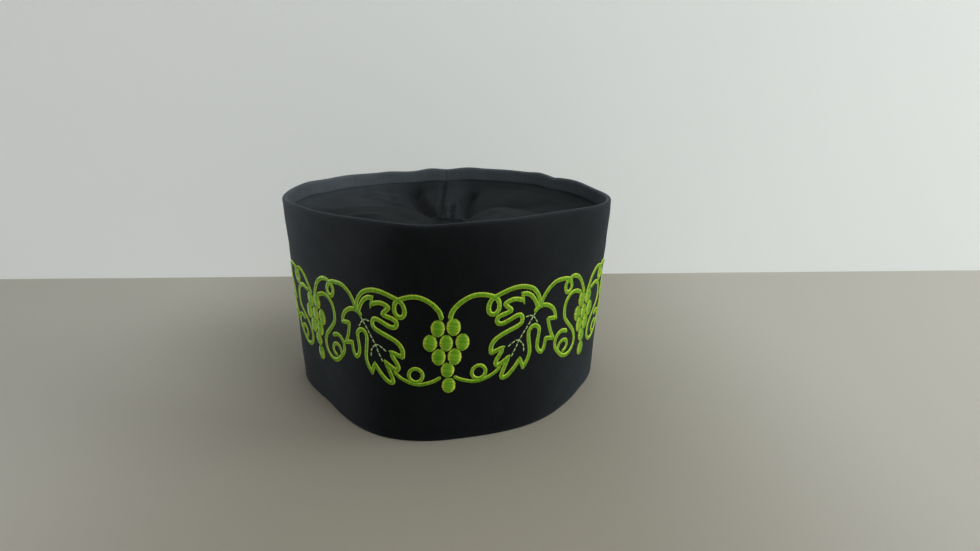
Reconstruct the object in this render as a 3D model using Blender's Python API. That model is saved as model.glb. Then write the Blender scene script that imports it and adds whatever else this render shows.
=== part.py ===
"""A skufia: a stiff black cotton band with a soft tucked crown sunk inside it, and a grape vine in
green satin stitch round the band.

Run it with: blender --background --python part.py
Sizes are in metres. The vine and the crown's folds are charted in millimetres, which MM turns into
metres. The hat stands on its foot at z = 0, its front is towards -Y, and the seam is at the back.
"""

from collections import namedtuple
from math import atan2, cos, hypot, pi, radians, sin

import bmesh
import bpy
import numpy as np
from mathutils import Vector
from mathutils.geometry import delaunay_2d_cdt

MM = 0.001

# Driving sizes of the hat
RIM_RADIUS = 98 * MM
FOOT_RADIUS = 91 * MM
HEIGHT = 120 * MM
WALL = 2.2 * MM
FACING = 0.8 * MM
FACING_DEPTH = 8.7 * MM
GAP = 0.3 * MM
COLUMNS = 64
CROWN_CLOTH = 1.6 * MM

# The band isn't quite round: each wave swells its outline by a share of the radius, at rim and foot.
Wave = namedtuple("Wave", "count peak rim foot")
OUT_OF_ROUND = (
    Wave(2, 61.5, -0.013, 0.0125),
    Wave(3, 33.5, 0.028, 0.016),
    Wave(4, -1.1, 0.018, 0.044),
    Wave(5, 23.2, -0.019, 0.031),
)
# Behind the sides the foot's swelling fades out, as sin(direction) goes from the one to the other.
BACK_STARTS = 0.15
BACK_ENDS = 0.75
# Nor is the rim quite level: each wave lifts it a little.
Lift = namedtuple("Lift", "count peak height")
RIM_LIFT = (
    Lift(1, 181.5, 0.65 * MM),
    Lift(2, 94.5, 1.22 * MM),
    Lift(3, 61.5, 0.84 * MM),
)

# The crown, in millimetres: how far its top lies below the rim, at the wall, in the puffs, at the centre
EDGE_DROP = (FACING_DEPTH + GAP) / MM
PUFF_DROP = 5.0
CENTRE_DROP = 19.0
PUFF_CREST = -6.0  # the front puffs rise where y falls past this line
PUFF_RISE = 18.0  # over this length
PUFF_BACKSET = 1.3  # how fast the right puff's crest falls back beyond its shoulder
PUFF_SHOULDER = 40.0
PUFF_TOP = 0.66  # the share of the radius where the puffs start down to the wall
EDGE_FADE = 0.12  # the share of the radius along the wall where folds fade out
GUTTER_AT = 3.5  # the gutter between the front puffs, with a flat floor and a bank up to each puff
GUTTER_FLOOR = 4.5
GUTTER_BANK = 17.0
# Folds run straight from one place to another. A negative depth is a ridge.
Fold = namedtuple("Fold", "x0 y0 x1 y1 half_width depth")
FOLDS = (
    Fold(-9.0, 90.0, -12.0, 12.0, 5.0, 3.5),  # the seam side of the back pleat
    Fold(22.0, 90.0, 12.0, 10.0, 5.5, 5.5),  # the open side of the back pleat
    Fold(-9.0, -6.0, 11.0, -2.0, 2.6, -3.0),  # the tuck pinched across the centre
    Fold(-88.0, 6.0, -20.0, 2.0, 7.0, 1.6),  # the left cross fold
    Fold(88.0, 2.0, 20.0, 2.0, 7.0, 1.6),  # the right cross fold
)
Lobe = namedtuple("Lobe", "x y spread rise")
BACK_LOBES = (
    Lobe(-47.0, 45.0, 24.0, 2.6),
    Lobe(50.0, 45.0, 26.0, 2.2),
)

# The vine, in millimetres. Six bunches are sewn along the band, to the right from the front one.
BUNCHES_ALONG = (0.0, 99.8, 199.8, 299.8, 399.8, 499.7)
# Between two bunches lies a half repeat of the vine, charted along from the middle of one bunch and
# up from the foot. The next half repeat is its mirror image, so the whole vine repeats three times.
HALF_REPEAT = 99.5
STROKE = 2.4
THIN_STROKE = 1.9
RAISED = 0.8 * MM
MITRE = 1.45
BERRY_WIDTH = 8.0
BERRY_HEIGHT = 10.4
BERRY_SIDES = 8
Spot = namedtuple("Spot", "along up")
BERRIES = (
    Spot(-4.0, 65.9),
    Spot(4.0, 65.9),
    Spot(-8.4, 57.8),
    Spot(0.0, 57.8),
    Spot(8.3, 57.9),
    Spot(-4.2, 49.9),
    Spot(4.2, 50.0),
    Spot(0.5, 42.3),
    Spot(0.9, 33.4),
)
# The stem arches from one bunch down to the leaf's top and on to the next bunch.
STEM = (
    Spot(2.6, 72.4),
    Spot(4.6, 76.4),
    Spot(9.0, 81.0),
    Spot(15.5, 83.3),
    Spot(21.0, 82.9),
    Spot(25.3, 81.2),
    Spot(30.0, 83.1),
    Spot(36.5, 84.5),
    Spot(43.0, 84.2),
    Spot(48.0, 81.8),
    Spot(51.4, 78.2),
    Spot(53.7, 74.8),
    Spot(56.4, 77.8),
    Spot(60.6, 81.2),
    Spot(66.5, 83.1),
    Spot(72.5, 82.7),
    Spot(77.6, 81.2),
    Spot(83.0, 82.6),
    Spot(88.5, 81.1),
    Spot(93.0, 77.2),
    Spot(96.6, 72.4),
)
# The leaf's outline, closed, from its top towards the front bunch, with a pointed tip low down
LEAF = (
    Spot(53.3, 70.4),
    Spot(49.6, 73.4),
    Spot(46.4, 77.4),
    Spot(43.5, 78.8),
    Spot(40.6, 79.5),
    Spot(41.2, 76.6),
    Spot(32.0, 77.2),
    Spot(31.2, 75.8),
    Spot(34.8, 72.8),
    Spot(34.4, 71.4),
    Spot(29.0, 70.0),
    Spot(26.7, 67.6),
    Spot(28.2, 65.6),
    Spot(32.5, 66.6),
    Spot(37.5, 68.8),
    Spot(41.0, 68.5),
    Spot(42.2, 66.0),
    Spot(40.3, 63.5),
    Spot(28.0, 58.7),
    Spot(24.5, 55.0),
    Spot(23.8, 50.3),
    Spot(30.0, 51.0),
    Spot(27.2, 44.2),
    Spot(29.2, 42.3),
    Spot(33.4, 44.6),
    Spot(31.7, 39.8),
    Spot(30.6, 35.3),
    Spot(32.3, 34.1),
    Spot(37.0, 37.0),
    Spot(41.7, 42.5),
    Spot(43.0, 38.8),
    Spot(44.7, 37.0),
    Spot(47.2, 40.0),
    Spot(48.4, 45.0),
    Spot(47.2, 51.0),
    Spot(46.7, 57.0),
    Spot(49.5, 60.3),
    Spot(53.5, 58.2),
    Spot(54.5, 54.0),
    Spot(53.4, 48.0),
    Spot(55.2, 43.7),
    Spot(59.3, 43.2),
    Spot(60.2, 46.0),
    Spot(59.8, 50.3),
    Spot(65.0, 49.0),
    Spot(64.0, 55.0),
    Spot(60.9, 62.0),
    Spot(67.8, 60.8),
    Spot(65.8, 65.5),
    Spot(61.0, 69.2),
    Spot(56.0, 70.4),
)
# The scroll hangs beside the far bunch and ends in a hook, with a curl inside it.
SCROLL = (
    Spot(90.6, 72.2),
    Spot(87.0, 73.0),
    Spot(83.0, 72.6),
    Spot(78.8, 70.2),
    Spot(76.3, 66.2),
    Spot(76.3, 60.4),
    Spot(79.2, 55.8),
    Spot(83.0, 52.4),
    Spot(86.6, 49.0),
    Spot(88.9, 45.0),
    Spot(89.1, 40.5),
    Spot(86.8, 36.9),
    Spot(82.6, 35.1),
    Spot(77.6, 35.5),
    Spot(72.6, 38.8),
    Spot(69.2, 42.6),
    Spot(68.6, 46.9),
    Spot(70.8, 50.6),
    Spot(74.4, 51.7),
    Spot(78.6, 50.3),
)
CURL = (
    Spot(71.4, 40.4),
    Spot(72.8, 44.0),
    Spot(76.0, 45.4),
    Spot(79.5, 44.3),
    Spot(80.7, 41.5),
    Spot(79.2, 39.0),
    Spot(75.4, 38.2),
)
# The low tendril runs from the front bunch to the leaf's tip, with a ring sitting on it.
LOW_TENDRIL = (
    Spot(5.0, 37.7),
    Spot(8.0, 36.2),
    Spot(12.0, 34.9),
    Spot(17.0, 34.5),
    Spot(22.5, 36.1),
    Spot(26.0, 37.9),
    Spot(28.3, 39.5),
)
RING_CENTRE = Spot(17.0, 39.7)
RING_RADIUS = 3.8
RING_SIDES = 8


# Helpers of form
def smooth_step(value):
    """0 below 0, 1 above 1, and a smooth rise between them."""
    share = min(max(value, 0.0), 1.0)
    return share * share * (3.0 - 2.0 * share)


def outer_radius(angle, share):
    """The band's outer radius in one direction, at this share of its height, before centring."""
    front = smooth_step((BACK_ENDS - sin(angle)) / (BACK_ENDS - BACK_STARTS))
    foot = FOOT_RADIUS
    rim = RIM_RADIUS
    for wave in OUT_OF_ROUND:
        swell = cos(wave.count * (angle - radians(wave.peak)))
        foot += FOOT_RADIUS * wave.foot * swell * front
        rim += RIM_RADIUS * wave.rim * swell
    return foot + (rim - foot) * share


def rim_height(angle):
    """The height of the rim's top in one direction."""
    return HEIGHT + sum(
        lift.height * cos(lift.count * (angle - radians(lift.peak))) for lift in RIM_LIFT
    )


def column_angles(count):
    """The directions of a ring's columns, the first at the front."""
    return [-pi / 2 + 2 * pi * i / count for i in range(count)]


def middle_of_rim():
    """The middle of the rim's outline, which is put over the origin."""
    rim = [
        (outer_radius(a, 1.0) * cos(a), outer_radius(a, 1.0) * sin(a))
        for a in column_angles(COLUMNS)
    ]
    return [(min(axis) + max(axis)) / 2 for axis in zip(*rim)]


MIDDLE_X, MIDDLE_Y = middle_of_rim()


def on_band(angle, inset, height):
    """A place on the hat: a direction, a depth under the outer face, and a height at a level rim."""
    share = height / HEIGHT
    radius = outer_radius(angle, share) - inset
    return Vector(
        (radius * cos(angle) - MIDDLE_X, radius * sin(angle) - MIDDLE_Y, share * rim_height(angle))
    )


# Helpers of mesh
def make_object(name, bm, material):
    """Turns a bmesh into an object with its faces outwards, smooth but for its sharp edges."""
    bmesh.ops.recalc_face_normals(bm, faces=bm.faces)
    mesh = bpy.data.meshes.new(name)
    bm.to_mesh(mesh)
    bm.free()
    mesh.shade_smooth()
    mesh.set_sharp_from_angle(angle=radians(40))
    mesh.materials.append(material)
    obj = bpy.data.objects.new(name, mesh)
    bpy.context.scene.collection.objects.link(obj)
    return obj


def skin(bm, rings, closed):
    """Joins rings of vertices by quads, one ring to the next, and the last to the first when closed."""
    pairs = list(zip(rings, rings[1:])) + ([(rings[-1], rings[0])] if closed else [])
    for one, other in pairs:
        for i in range(len(one)):
            k = (i + 1) % len(one)
            bm.faces.new((one[i], one[k], other[k], other[i]))


def make_material(name, colour, roughness):
    material = bpy.data.materials.new(name)
    material.use_nodes = True
    shader = material.node_tree.nodes["Principled BSDF"]
    shader.inputs["Base Color"].default_value = (*colour, 1.0)
    shader.inputs["Roughness"].default_value = roughness
    shader.inputs["Metallic"].default_value = 0.0
    return material


# The band
def band_section():
    """The band's section, as (depth under the outer face, height), up the outside and down the inside."""
    fold = (WALL + FACING) / 2
    outside = [(0.0, share * HEIGHT) for share in (0.0, 0.2, 0.34, 0.48, 0.62, 0.76)]
    over = [
        (fold - fold * cos(turn), HEIGHT - fold + fold * sin(turn))
        for turn in (pi * i / 5 for i in range(6))
    ]
    step = [(WALL + FACING, HEIGHT - FACING_DEPTH), (WALL, HEIGHT - FACING_DEPTH)]
    inside = [(WALL, share * HEIGHT) for share in (0.6, 0.3, 0.0)]
    return outside + over + step + inside


def make_band(material):
    """The stiff band, with its cloth folded over the rim and down inside as a facing."""
    bm = bmesh.new()
    rings = [
        [bm.verts.new(on_band(angle, inset, height)) for angle in column_angles(COLUMNS)]
        for inset, height in band_section()
    ]
    skin(bm, rings, closed=True)
    return make_object("band", bm, material)


# The crown
def fold_depth(fold, x, y):
    """How deep one straight fold is at a place in plan, fading out to its sides and both its ends."""
    run_x = fold.x1 - fold.x0
    run_y = fold.y1 - fold.y0
    length = hypot(run_x, run_y)
    along = ((x - fold.x0) * run_x + (y - fold.y0) * run_y) / length**2
    aside = abs((x - fold.x0) * run_y - (y - fold.y0) * run_x) / length
    ends = smooth_step(4 * along) * smooth_step(4 * (1 - along))
    return fold.depth * ends * smooth_step(1.5 - 0.75 * aside / fold.half_width)


def crown_drop(x, y, share):
    """How far the crown's top lies below the rim, from its place in plan and its share of the radius."""
    drop = CENTRE_DROP + (EDGE_DROP - CENTRE_DROP) * share
    edge_fade = smooth_step((1 - share) / EDGE_FADE)
    for lobe in BACK_LOBES:
        reach = 1 - hypot(x - lobe.x, y - lobe.y) / (2 * lobe.spread)
        drop -= edge_fade * lobe.rise * smooth_step(reach)
    crest = PUFF_CREST - PUFF_BACKSET * max(x - PUFF_SHOULDER, 0.0)
    front = smooth_step((crest + PUFF_RISE / 2 - y) / PUFF_RISE)
    bank = GUTTER_BANK * (1.1 - 0.5 * share)
    beside_gutter = smooth_step((abs(x - GUTTER_AT) - GUTTER_FLOOR) / bank)
    puff = PUFF_DROP + (EDGE_DROP - PUFF_DROP) * smooth_step((share - PUFF_TOP) / (1 - PUFF_TOP))
    drop += (puff - drop) * front * beside_gutter
    return drop + edge_fade * sum(fold_depth(fold, x, y) for fold in FOLDS)


def crown_point(angle, share, below):
    """A place on the crown: a direction, a share of the way out to the wall, a depth under its top."""
    wall = on_band(angle, WALL + GAP, HEIGHT - FACING_DEPTH)
    x = wall.x * share
    y = wall.y * share
    level = HEIGHT + (rim_height(angle) - HEIGHT) * share
    return Vector((x, y, level - crown_drop(x / MM, y / MM, share) * MM - below))


def make_crown(material):
    """The crown, a soft round of cloth with an upper and a lower face, closed round its edge."""
    shares = (1.0, 0.92, 0.81, 0.69, 0.57, 0.45, 0.33, 0.22, 0.11)
    bm = bmesh.new()
    faces = []
    for below in (0.0, CROWN_CLOTH):
        rings = [
            [bm.verts.new(crown_point(angle, share, below)) for angle in column_angles(COLUMNS)]
            for share in shares
        ]
        skin(bm, rings, closed=False)
        middle = bm.verts.new(crown_point(0.0, 0.0, below))
        inner = rings[-1]
        for i in range(len(inner)):
            bm.faces.new((inner[i], inner[(i + 1) % len(inner)], middle))
        faces.append(rings[0])
    skin(bm, faces, closed=False)
    return make_object("crown", bm, material)


# The vine
def vine_angles():
    """The directions round the band, how far each lies from the front, and the whole way round."""
    angles = np.linspace(-1.5 * pi, 0.5 * pi, 1441)
    places = np.array([on_band(a, 0.0, HEIGHT / 2) for a in angles])
    steps = np.linalg.norm(np.diff(places, axis=0), axis=1)
    lengths = np.concatenate([[0.0], np.cumsum(steps)]) / MM
    return angles, lengths - np.interp(-pi / 2, angles, lengths), lengths[-1]


ANGLES, LENGTHS, ROUND = vine_angles()


def vine_point(start, stretch, spot, proud):
    """A place of the vine: a charted spot, stretched along from its start, and how far off the band."""
    along = start + stretch * spot[0]
    along = (along - LENGTHS[0]) % ROUND + LENGTHS[0]
    angle = float(np.interp(along, LENGTHS, ANGLES))
    return on_band(angle, -proud, spot[1] * MM)


def counter_clockwise(cell):
    area = sum(a[0] * b[1] - b[0] * a[1] for a, b in zip(cell, cell[1:] + cell[:1]))
    return cell if area > 0 else cell[::-1]


def stroke_cells(spots, width, closed):
    """A stroke of thread along charted spots, as flat four-sided cells that share their mitred ends."""
    count = len(spots)
    sides = []
    for i, spot in enumerate(spots):
        before = spots[i - 1] if closed or i else spot
        after = spots[(i + 1) % count] if closed or i < count - 1 else spot
        one = atan2(spot.up - before.up, spot.along - before.along)
        two = atan2(after.up - spot.up, after.along - spot.along)
        one = two if before is spot else one
        two = one if after is spot else two
        half_turn = ((two - one + pi) % (2 * pi) - pi) / 2
        reach = width / 2 * min(1 / cos(half_turn), MITRE)
        across = (-sin(one + half_turn) * reach, cos(one + half_turn) * reach)
        sides.append(
            (
                (spot.along + across[0], spot.up + across[1]),
                (spot.along - across[0], spot.up - across[1]),
            )
        )
    ends = list(zip(sides, sides[1:])) + ([(sides[-1], sides[0])] if closed else [])
    return [counter_clockwise([a[0], a[1], b[1], b[0]]) for a, b in ends]


def covered(place, cells):
    """Whether a flat place lies in any of the cells, by counting the edges to one side of it."""
    for cell in cells:
        inside = False
        for a, b in zip(cell, cell[1:] + cell[:1]):
            if (a[1] > place[1]) != (b[1] > place[1]):
                crossing = a[0] + (place[1] - a[1]) * (b[0] - a[0]) / (b[1] - a[1])
                inside ^= crossing > place[0]
        if inside:
            return True
    return False


def oval_cell(middle, width, height, sides):
    """One oval, such as a berry."""
    return [
        (middle.along + width / 2 * cos(turn), middle.up + height / 2 * sin(turn))
        for turn in (2 * pi * (i + 0.5) / sides for i in range(sides))
    ]


def make_raised(name, cells, start, stretch, material):
    """Joins flat cells into one outline, raises it, and lays it round the band a gap off its face."""
    corners = [Vector(corner) for cell in cells for corner in cell]
    loops = []
    for cell in cells:
        first = loops[-1][-1] + 1 if loops else 0
        loops.append(list(range(first, first + len(cell))))
    flat, _, triangles, _, _, _ = delaunay_2d_cdt(corners, [], loops, 1, 1e-4)
    middles = [sum((flat[i] for i in triangle), Vector((0, 0))) / 3 for triangle in triangles]
    triangles = [
        triangle for triangle, middle in zip(triangles, middles) if covered(middle, cells)
    ]
    bm = bmesh.new()
    used = sorted({corner for triangle in triangles for corner in triangle})
    low = {i: bm.verts.new(vine_point(start, stretch, flat[i], GAP)) for i in used}
    high = {i: bm.verts.new(vine_point(start, stretch, flat[i], GAP + RAISED)) for i in used}
    edges = {}
    for triangle in triangles:
        bm.faces.new([high[i] for i in triangle])
        bm.faces.new([low[i] for i in reversed(triangle)])
        for a, b in zip(triangle, triangle[1:] + triangle[:1]):
            edges[frozenset((a, b))] = None if frozenset((a, b)) in edges else (a, b)
    for edge in filter(None, edges.values()):
        a, b = edge
        bm.faces.new((low[a], low[b], high[b], high[a]))
    return make_object(name, bm, material)


def make_vine(material):
    """Three repeats of the vine: six bunches, and six half repeats with each second one mirrored."""
    berries = [oval_cell(spot, BERRY_WIDTH, BERRY_HEIGHT, BERRY_SIDES) for spot in BERRIES]
    stem = stroke_cells(STEM, STROKE, closed=False)
    leaf = stroke_cells(LEAF, STROKE, closed=True)
    scroll = stroke_cells(SCROLL, STROKE, closed=False) + stroke_cells(CURL, STROKE, closed=False)
    ring = [
        Spot(*corner)
        for corner in oval_cell(RING_CENTRE, 2 * RING_RADIUS, 2 * RING_RADIUS, RING_SIDES)
    ]
    low = stroke_cells(LOW_TENDRIL, THIN_STROKE, closed=False)
    low += stroke_cells(ring, THIN_STROKE, closed=True)
    stops = BUNCHES_ALONG + (ROUND,)
    for i in range(len(BUNCHES_ALONG)):
        number = i + 1
        make_raised(f"grape_bunch_{number}", berries, stops[i], 1.0, material)
        mirrored = i % 2 == 1
        start = stops[i + 1] if mirrored else stops[i]
        stretch = (stops[i + 1] - stops[i]) / HALF_REPEAT * (-1 if mirrored else 1)
        make_raised(f"vine_stem_{number}", stem, start, stretch, material)
        make_raised(f"vine_leaf_{number}", leaf, start, stretch, material)
        make_raised(f"scroll_tendril_{number}", scroll, start, stretch, material)
        make_raised(f"low_tendril_{number}", low, start, stretch, material)


def main():
    for obj in list(bpy.data.objects):
        bpy.data.objects.remove(obj, do_unlink=True)
    cotton = make_material("black_cotton", (0.012, 0.012, 0.013), 0.85)
    thread = make_material("green_thread", (0.10, 0.30, 0.012), 0.55)
    make_band(cotton)
    make_crown(cotton)
    make_vine(thread)


main()
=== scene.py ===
# %% [markdown]
# # A skufia with an embroidered grape vine
# A skufia is a soft hat with a stiff upright band. This one is sewn from black cotton. Its crown is sunk
# inside the rim and tucked, and a vine of grapes and leaves runs round the band in green satin stitch.
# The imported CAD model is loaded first. It is the frame, and each piece made below goes where it says.

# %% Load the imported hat
from collections import namedtuple
from math import cos, pi, radians, sin

import bpy
import numpy as np
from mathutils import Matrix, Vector


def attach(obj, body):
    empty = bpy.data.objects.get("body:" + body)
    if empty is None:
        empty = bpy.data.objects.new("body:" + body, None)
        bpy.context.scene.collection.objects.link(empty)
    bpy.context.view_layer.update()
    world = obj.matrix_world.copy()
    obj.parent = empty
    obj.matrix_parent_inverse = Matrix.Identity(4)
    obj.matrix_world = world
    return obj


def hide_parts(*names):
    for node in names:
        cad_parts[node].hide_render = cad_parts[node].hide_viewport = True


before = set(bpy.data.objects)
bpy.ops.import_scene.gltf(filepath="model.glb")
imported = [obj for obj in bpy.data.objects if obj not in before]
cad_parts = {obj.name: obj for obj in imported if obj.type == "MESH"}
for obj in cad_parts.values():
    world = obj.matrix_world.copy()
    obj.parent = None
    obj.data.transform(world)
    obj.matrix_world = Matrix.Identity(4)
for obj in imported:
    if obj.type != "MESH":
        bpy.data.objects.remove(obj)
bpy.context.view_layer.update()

MM = 0.001

# %% [markdown]
# ## The form the hat is blocked on
# A hatter pulls the cloth over a block, which gives it its outline. Here the block is a function: it turns
# a direction round the head, a depth under the outer face and a height up the band into a place. The band
# isn't quite round, and its rim isn't quite level, so a few waves swell the outline and lift the rim.
# Directions are in degrees: 0 is the wearer's left, 90 the back and -90 the front.

# %% The block
HEIGHT = 120 * MM
RIM_RADIUS = 98 * MM
FOOT_RADIUS = 91 * MM
WALL = 2.2 * MM
FACING = 0.8 * MM
FACING_DEPTH = 8.7 * MM
COLUMNS = 64  # of the CAD band, whose box is centred on the origin
# How often a wave goes round, where it is highest, and its share of the radius at the rim and the foot.
Wave = namedtuple("Wave", "count peak rim foot")
OUT_OF_ROUND = (
    Wave(2, 61.5, -0.013, 0.0125), Wave(3, 33.5, 0.028, 0.016),
    Wave(4, -1.1, 0.018, 0.044), Wave(5, 23.2, -0.019, 0.031),
)
# Towards the back, the foot's waves fade out between these two sines of the direction.
BACK_STARTS = 0.15
BACK_ENDS = 0.75
Lift = namedtuple("Lift", "count peak height")  # its height is in millimetres, as the lumps' below
RIM_LIFT = (Lift(1, 181.5, 0.65), Lift(2, 94.5, 1.22), Lift(3, 61.5, 0.84))


def smooth_step(value):
    """0 below 0, 1 above 1, and a smooth rise between them."""
    share = np.clip(value, 0.0, 1.0)
    return share * share * (3.0 - 2.0 * share)


def ramp(value, start, length):
    """A smooth rise from 0 at the start to 1 a length further on, or further back if it is negative."""
    return smooth_step((value - start) / length)


def bell(value, width):
    """1 at 0, and fading out within about a width on both sides."""
    return np.exp(-((value / width) ** 2))


def outer_radius(angle, share):
    """The band's outer radius in a direction, at a share of its height."""
    front = smooth_step((BACK_ENDS - np.sin(angle)) / (BACK_ENDS - BACK_STARTS))
    foot, rim = FOOT_RADIUS, RIM_RADIUS
    for wave in OUT_OF_ROUND:
        swell = np.cos(wave.count * (angle - radians(wave.peak)))
        foot = foot + FOOT_RADIUS * wave.foot * swell * front
        rim = rim + RIM_RADIUS * wave.rim * swell
    return foot + (rim - foot) * share


def rim_height(angle):
    """The height of the rim's top in a direction."""
    return HEIGHT + sum(
        lift.height * MM * np.cos(lift.count * (angle - radians(lift.peak))) for lift in RIM_LIFT
    )


directions = -pi / 2 + 2 * pi * np.arange(COLUMNS) / COLUMNS
rim_x = outer_radius(directions, 1.0) * np.cos(directions)
rim_y = outer_radius(directions, 1.0) * np.sin(directions)
MIDDLE_X = (rim_x.min() + rim_x.max()) / 2
MIDDLE_Y = (rim_y.min() + rim_y.max()) / 2
print("rim across, mm:", np.ptp(rim_x) / MM, np.ptp(rim_y) / MM)

# %% [markdown]
# ## How the cloth lies on the block
# Cloth over a stiffener is never dead smooth. It has faint waves, the fold at the rim rides up and down by
# a millimetre, and the back seam draws in. They are small, so they are added to the block as sums of a few
# waves and lumps with named sizes, and the thread of the vine then lies on the same surface.

# %% Waves and lumps of the cloth
# How often a ripple goes round, how far it turns on its way up, where it starts, and its size in mm.
Ripple = namedtuple("Ripple", "count climb shift size")
RIPPLES = (
    Ripple(7, 18.0, 0.4, 0.10), Ripple(11, -26.0, 2.1, 0.08),
    Ripple(17, 41.0, 4.4, 0.06), Ripple(23, -63.0, 1.3, 0.04),
)
# A lump's direction and spread, in degrees, and its lift, in millimetres.
Lump = namedtuple("Lump", "direction spread lift")
RIM_LUMPS = (
    Lump(160.0, 9.0, 0.9), Lump(137.0, 8.0, 0.6), Lump(118.0, 4.0, 0.35), Lump(108.0, 5.0, -0.6),
    Lump(99.0, 4.5, 0.9), Lump(91.0, 3.0, -0.3), Lump(82.0, 6.0, 0.9), Lump(48.5, 4.5, 0.9),
    Lump(40.0, 2.5, -0.6), Lump(27.0, 9.0, 1.3), Lump(-60.0, 9.0, 0.25), Lump(-80.0, 9.0, 0.6),
    Lump(-96.0, 8.0, -0.6), Lump(-118.0, 8.0, 0.3), Lump(-154.0, 8.0, 0.6),
)
FOOT_LUMPS = (
    Lump(-110.0, 15.0, 1.4), Lump(-80.0, 14.0, -0.7), Lump(-58.0, 14.0, 0.9), Lump(-5.0, 20.0, 0.7),
)
SEAM_DIRECTION = radians(92.4)
SEAM_DEPTH = 0.45 * MM
SEAM_WIDTH = 0.6 * MM
SEAM_ROLL = 2.2 * MM  # the cloth swells a little on both sides of the seam, over this width
SEAM_SWELL = 0.35
LUMPS_FROM = 0.85  # lumps of the rim start at this share of the height, and grow over this much
LUMPS_RISE = 0.15


def turn_between(angle, other):
    """The turn from one direction to another, the short way round."""
    return (angle - other + pi) % (2 * pi) - pi


def add_lumps(lumps, angle):
    """The sum of lumps in a direction."""
    return sum(
        lump.lift * MM * bell(turn_between(angle, radians(lump.direction)), radians(lump.spread))
        for lump in lumps
    )


def on_cloth(angle, inset, height):
    """A place on the cloth: a direction, a depth under the outer face, and a height at a level rim."""
    share = height / HEIGHT
    radius = outer_radius(angle, share) - inset
    for ripple in RIPPLES:
        wave = np.sin(ripple.count * angle + ripple.climb * height / HEIGHT + ripple.shift)
        radius = radius + ripple.size * MM * wave
    radius = radius + add_lumps(FOOT_LUMPS, angle) * (1 - share)
    off_seam = turn_between(angle, SEAM_DIRECTION) * RIM_RADIUS
    seam = SEAM_SWELL * bell(off_seam, SEAM_ROLL) - bell(off_seam, SEAM_WIDTH)
    outside = np.where(inset < (WALL + FACING) / 2, 1.0, -1.0)
    radius = radius + SEAM_DEPTH * seam * outside
    z = share * rim_height(angle) + add_lumps(RIM_LUMPS, angle) * ramp(share, LUMPS_FROM, LUMPS_RISE)
    return np.stack([radius * np.cos(angle) - MIDDLE_X, radius * np.sin(angle) - MIDDLE_Y, z], axis=-1)


# %% [markdown]
# ## The camera
# The camera stands where the photograph was taken from: 44 cm in front of the hat's middle, 19 cm up, and
# tilted down by 16 degrees, with a wide lens. Its place was found by matching the outline of rim and foot.

# %% Camera
CAMERA_PLACE = (0.01132, -0.44003, 0.1943)
CAMERA_HEADING = 1.88
CAMERA_TILT = 16.18
CAMERA_LENS = 26.45
CAMERA_SENSOR = 36


def link_new(name, data):
    """A new object in the scene, made of this camera, light or mesh."""
    thing = bpy.data.objects.new(name, data)
    bpy.context.scene.collection.objects.link(thing)
    return thing


camera = link_new("camera", bpy.data.cameras.new("camera"))
camera.data.sensor_width = CAMERA_SENSOR
camera.data.lens = CAMERA_LENS
camera.location = CAMERA_PLACE
camera.rotation_euler = (radians(90 - CAMERA_TILT), 0, radians(-CAMERA_HEADING))
bpy.context.scene.camera = camera

# %% [markdown]
# ## Black cotton
# The cloth is a fine plain weave, about 28 threads to the centimetre, dyed black. Seen close, each thread
# passes over and under its neighbours. Seen from further off, thicker and thinner threads make faint
# streaks both ways, and some lint sticks to it. A picture of cloth could be wrapped round it, but a pattern
# worked out by nodes has no seams and no size of its own. It reads the piece's own UV map, in metres, so
# that the threads follow the cloth round the band, and a number at each point makes it paler: wear in some
# places, and painted light and painted highlight in others.

# %% Helpers for materials
MIX_COLOURS = (6, 7)  # the colour sockets of a Mix node, and its coloured result
MIXED_COLOUR = 2


def set_all(thing, settings):
    """Gives a thing these named settings."""
    for name, value in settings.items():
        setattr(thing, name, value)


def new_material(name):
    """A material, its tree of nodes and its shader."""
    material = bpy.data.materials.new(name)
    material.use_nodes = True
    return material, material.node_tree, material.node_tree.nodes["Principled BSDF"]


def plug(tree, node, sockets):
    """Gives each named socket of a node its value, or links it to another node's output."""
    for name, value in sockets.items():
        if isinstance(value, bpy.types.NodeSocket):
            tree.links.new(value, node.inputs[name])
        else:
            node.inputs[name].default_value = value
    return node


def add_node(tree, kind, sockets=None, **settings):
    """A new shader node with these settings and sockets."""
    node = tree.nodes.new("ShaderNode" + kind)
    set_all(node, settings)
    return plug(tree, node, sockets or {})


def add_math(tree, operation, *values):
    """The result of a Math node on numbers or sockets."""
    return add_node(tree, "Math", dict(enumerate(values)), operation=operation).outputs[0]


def add_noise(tree, vector, scale, detail=2.0):
    """A noise texture's grey value."""
    return add_node(tree, "TexNoise", {"Vector": vector, "Scale": scale, "Detail": detail}).outputs["Fac"]


def add_streaks(tree, vector, stretch):
    """Noise drawn out along one axis: so many streaks to a unit along each."""
    stretched = add_node(tree, "Mapping", {"Vector": vector, "Scale": stretch}).outputs[0]
    return add_noise(tree, stretched, 1.0, detail=3.0)


def add_blend(tree, factor, one, other):
    """A colour that goes from one to the other."""
    sockets = {"Factor": factor}
    for number, colour in zip(MIX_COLOURS, (one, other)):
        sockets[number] = (*colour, 1.0) if isinstance(colour, tuple) else colour
    return add_node(tree, "Mix", sockets, data_type="RGBA").outputs[MIXED_COLOUR]


def add_bump(tree, height, distance, strength, under=None):
    """A bump, on top of another if there is one."""
    sockets = {"Height": height, "Distance": distance, "Strength": strength}
    if under:
        sockets["Normal"] = under
    return add_node(tree, "Bump", sockets).outputs["Normal"]


def add_attribute(tree, name):
    """A number that the mesh carries at each point."""
    return add_node(tree, "Attribute", attribute_name=name).outputs["Fac"]


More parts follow.
